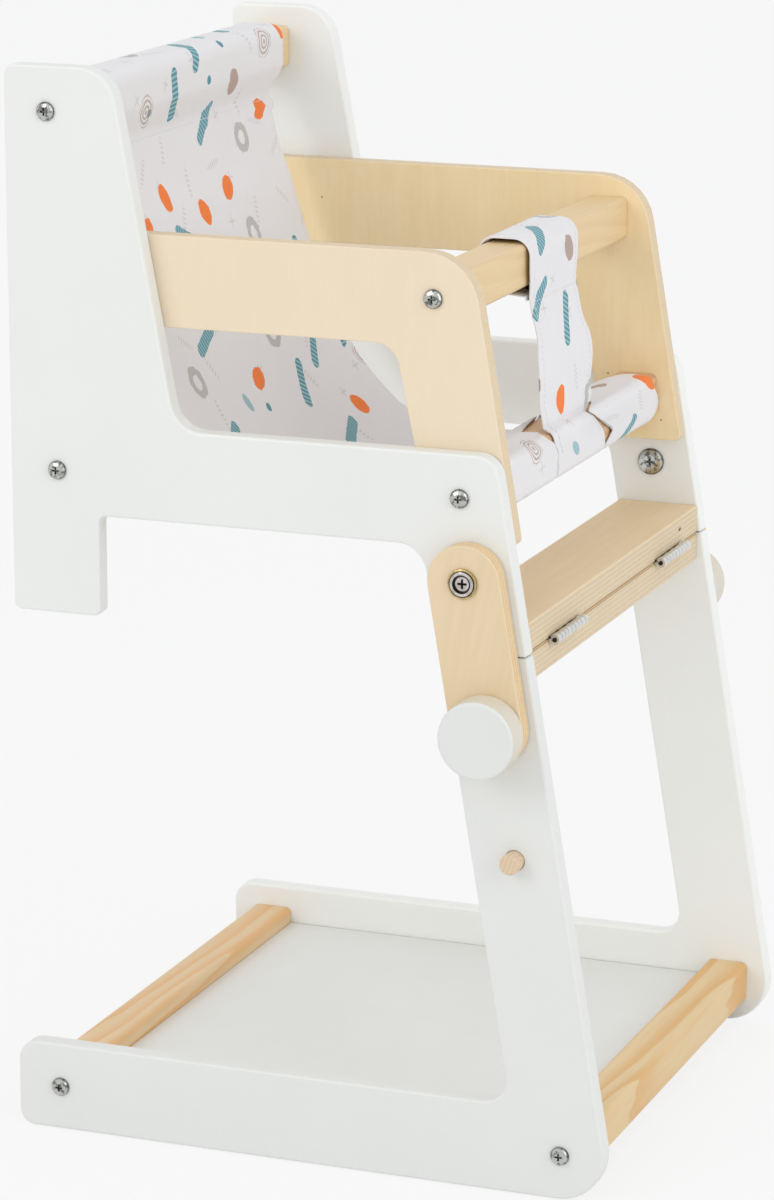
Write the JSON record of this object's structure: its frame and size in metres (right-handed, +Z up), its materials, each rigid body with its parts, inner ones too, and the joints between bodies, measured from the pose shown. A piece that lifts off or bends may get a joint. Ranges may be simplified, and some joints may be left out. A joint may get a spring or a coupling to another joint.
{
  "type": "doll high chair",
  "caption": "Wooden doll high chair: slung cloth seat with armrests, tray bar and crotch strap, hinged to a floor base and held by hooked side links; folds to a low chair with a table.",
  "frame": {"origin": "centre of the base's footprint, on the floor", "axes": "+X to the seated doll's left, -Y to the front, +Z up"},
  "size_m": [0.3436, 0.3124, 0.54],
  "materials": {
    "white_paint": "satin white paint on plywood",
    "plywood": "clear matt lacquer",
    "board_plywood": "clear matt lacquer",
    "pine": "clear matt lacquer",
    "nickel": "nickel plate",
    "aged_steel": "darkened plate",
    "printed_cloth": "plain-weave cotton with a small print"
  },
  "bodies": {
    "base": {"base_side_left": "white_paint", "base_side_right": "white_paint", "base_shelf": "white_paint", "base_rear_bar": "pine", "base_front_bar": "pine", "base_board": "board_plywood", "high_peg_left": "pine", "high_peg_right": "pine", "low_peg_left": "pine", "low_peg_right": "pine", "base_rear_screw_left": "nickel", "base_rear_screw_right": "nickel", "base_front_screw_left": "nickel", "base_front_screw_right": "nickel", "base_board_rear_dowel_left": "pine", "base_board_rear_dowel_right": "pine", "base_board_front_dowel_left": "pine", "base_board_front_dowel_right": "pine", "lower_hinge_leaf_left": "nickel", "lower_hinge_leaf_right": "nickel", "hinge_pin_left": "nickel", "hinge_pin_right": "nickel"},
    "seat": {"seat_side_left": "white_paint", "seat_side_right": "white_paint", "armrest_left": "plywood", "armrest_right": "plywood", "back_bar": "pine", "rear_seat_bar": "pine", "front_seat_bar": "pine", "tray_bar": "pine", "seat_board": "board_plywood", "sling": "printed_cloth", "crotch_strap": "printed_cloth", "back_bar_screw_left": "nickel", "back_bar_screw_right": "nickel", "rear_seat_bar_screw_left": "nickel", "rear_seat_bar_screw_right": "nickel", "front_seat_bar_screw_left": "nickel", "front_seat_bar_screw_right": "nickel", "tray_bar_screw_left": "nickel", "tray_bar_screw_right": "nickel", "seat_board_rear_dowel_left": "pine", "seat_board_rear_dowel_right": "pine", "seat_board_front_dowel_left": "pine", "seat_board_front_dowel_right": "pine", "upper_hinge_leaf_left": "nickel", "upper_hinge_leaf_right": "nickel", "pivot_bolt_left": "aged_steel", "pivot_bolt_right": "aged_steel", "pivot_nut_left": "nickel", "pivot_nut_right": "nickel"},
    "latch_left": {"latch_link_left": "plywood", "latch_knob_left": "white_paint", "latch_knob_screw_left": "nickel"},
    "latch_right": {"latch_link_right": "plywood", "latch_knob_right": "white_paint", "latch_knob_screw_right": "nickel"}
  },
  "joints": [
    {"name": "fold", "type": "hinge", "parent": "base", "child": "seat", "pos_m": [0, -0.1154, 0.27025], "axis": [1, 0, 0], "range_deg": [0, 180]},
    {"name": "latch_swing_left", "type": "hinge", "parent": "seat", "child": "latch_left", "pos_m": [0.1505, -0.08622, 0.3068], "axis": [1, 0, 0], "range_deg": [-141.6, 0]},
    {"name": "latch_swing_right", "type": "hinge", "parent": "seat", "child": "latch_right", "pos_m": [-0.1505, -0.08622, 0.3068], "axis": [1, 0, 0], "range_deg": [-141.6, 0]}
  ],
  "couplings": [
    {"joint": "latch_swing_left", "follows": "fold", "ratio": -0.78644},
    {"joint": "latch_swing_right", "follows": "fold", "ratio": -0.78644}
  ]
}
